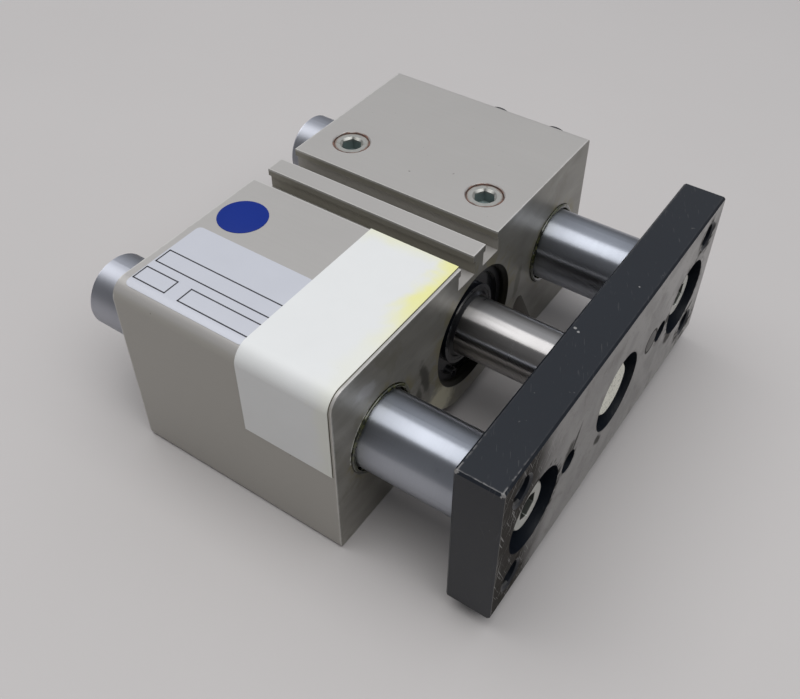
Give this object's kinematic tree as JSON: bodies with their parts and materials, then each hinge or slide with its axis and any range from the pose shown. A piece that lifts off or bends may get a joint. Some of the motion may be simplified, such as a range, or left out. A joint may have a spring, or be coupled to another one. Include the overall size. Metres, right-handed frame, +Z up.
{
  "type": "guided pneumatic cylinder",
  "caption": "Compact air cylinder in a slotted extruded body, with a guide rod either side of the piston rod and a tapped tooling plate across all three rods.",
  "frame": {"origin": "centre of the base threads, on the base plane under the middle of the housing", "axes": "+X the way the rods extend, +Y across the housing, +Z up from the base to the sensor slots"},
  "size_m": [0.1246, 0.1175, 0.052],
  "materials": {
    "clear_anodised": "satin, clear anodised",
    "black_anodised": "satin, black anodised",
    "ground_steel": "ground and hard-chromed",
    "rod_steel": "polished",
    "black_oxide": "black oxide, worn on the face",
    "zinc_plated": "bright zinc",
    "spring_steel": "phosphated",
    "bearing_bronze": "sintered",
    "seal_rubber": "matt",
    "bumper_plastic": "soft",
    "magnet_ferrite": "plain",
    "black_plastic": "satin"
  },
  "bodies": {
    "housing": {"housing": "clear_anodised", "rod_gland": "black_anodised", "gland_o_ring": "seal_rubber", "rod_wiper": "seal_rubber", "rod_seal": "seal_rubber", "rod_bush": "bearing_bronze", "end_cap": "clear_anodised", "end_cap_o_ring": "seal_rubber", "gland_retaining_ring": "spring_steel", "end_cap_retaining_ring": "spring_steel", "guide_snap_rings": "spring_steel", "top_port_plugs": "zinc_plated", "side_port_plugs": "black_plastic", "guide_wiper_front_left": "seal_rubber", "guide_bush_front_left": "bearing_bronze", "guide_wiper_front_right": "seal_rubber", "guide_bush_front_right": "bearing_bronze", "guide_wiper_rear_left": "seal_rubber", "guide_bush_rear_left": "bearing_bronze", "guide_wiper_rear_right": "seal_rubber", "guide_bush_rear_right": "bearing_bronze"},
    "carriage": {"tooling_plate": "black_oxide", "guide_rod_left": "ground_steel", "guide_rod_right": "ground_steel", "piston_rod": "rod_steel", "guide_rod_screws": "zinc_plated", "rod_screw": "zinc_plated", "piston": "clear_anodised", "piston_magnet": "magnet_ferrite", "piston_wear_ring": "bumper_plastic", "piston_seals": "seal_rubber", "front_bumper": "bumper_plastic", "rear_bumper": "bumper_plastic", "piston_screw": "zinc_plated"}
  },
  "joints": [
    {"name": "rod_extension", "type": "slide", "parent": "housing", "child": "carriage", "axis": [1, 0, 0], "range_m": [-0.025, 0]}
  ]
}
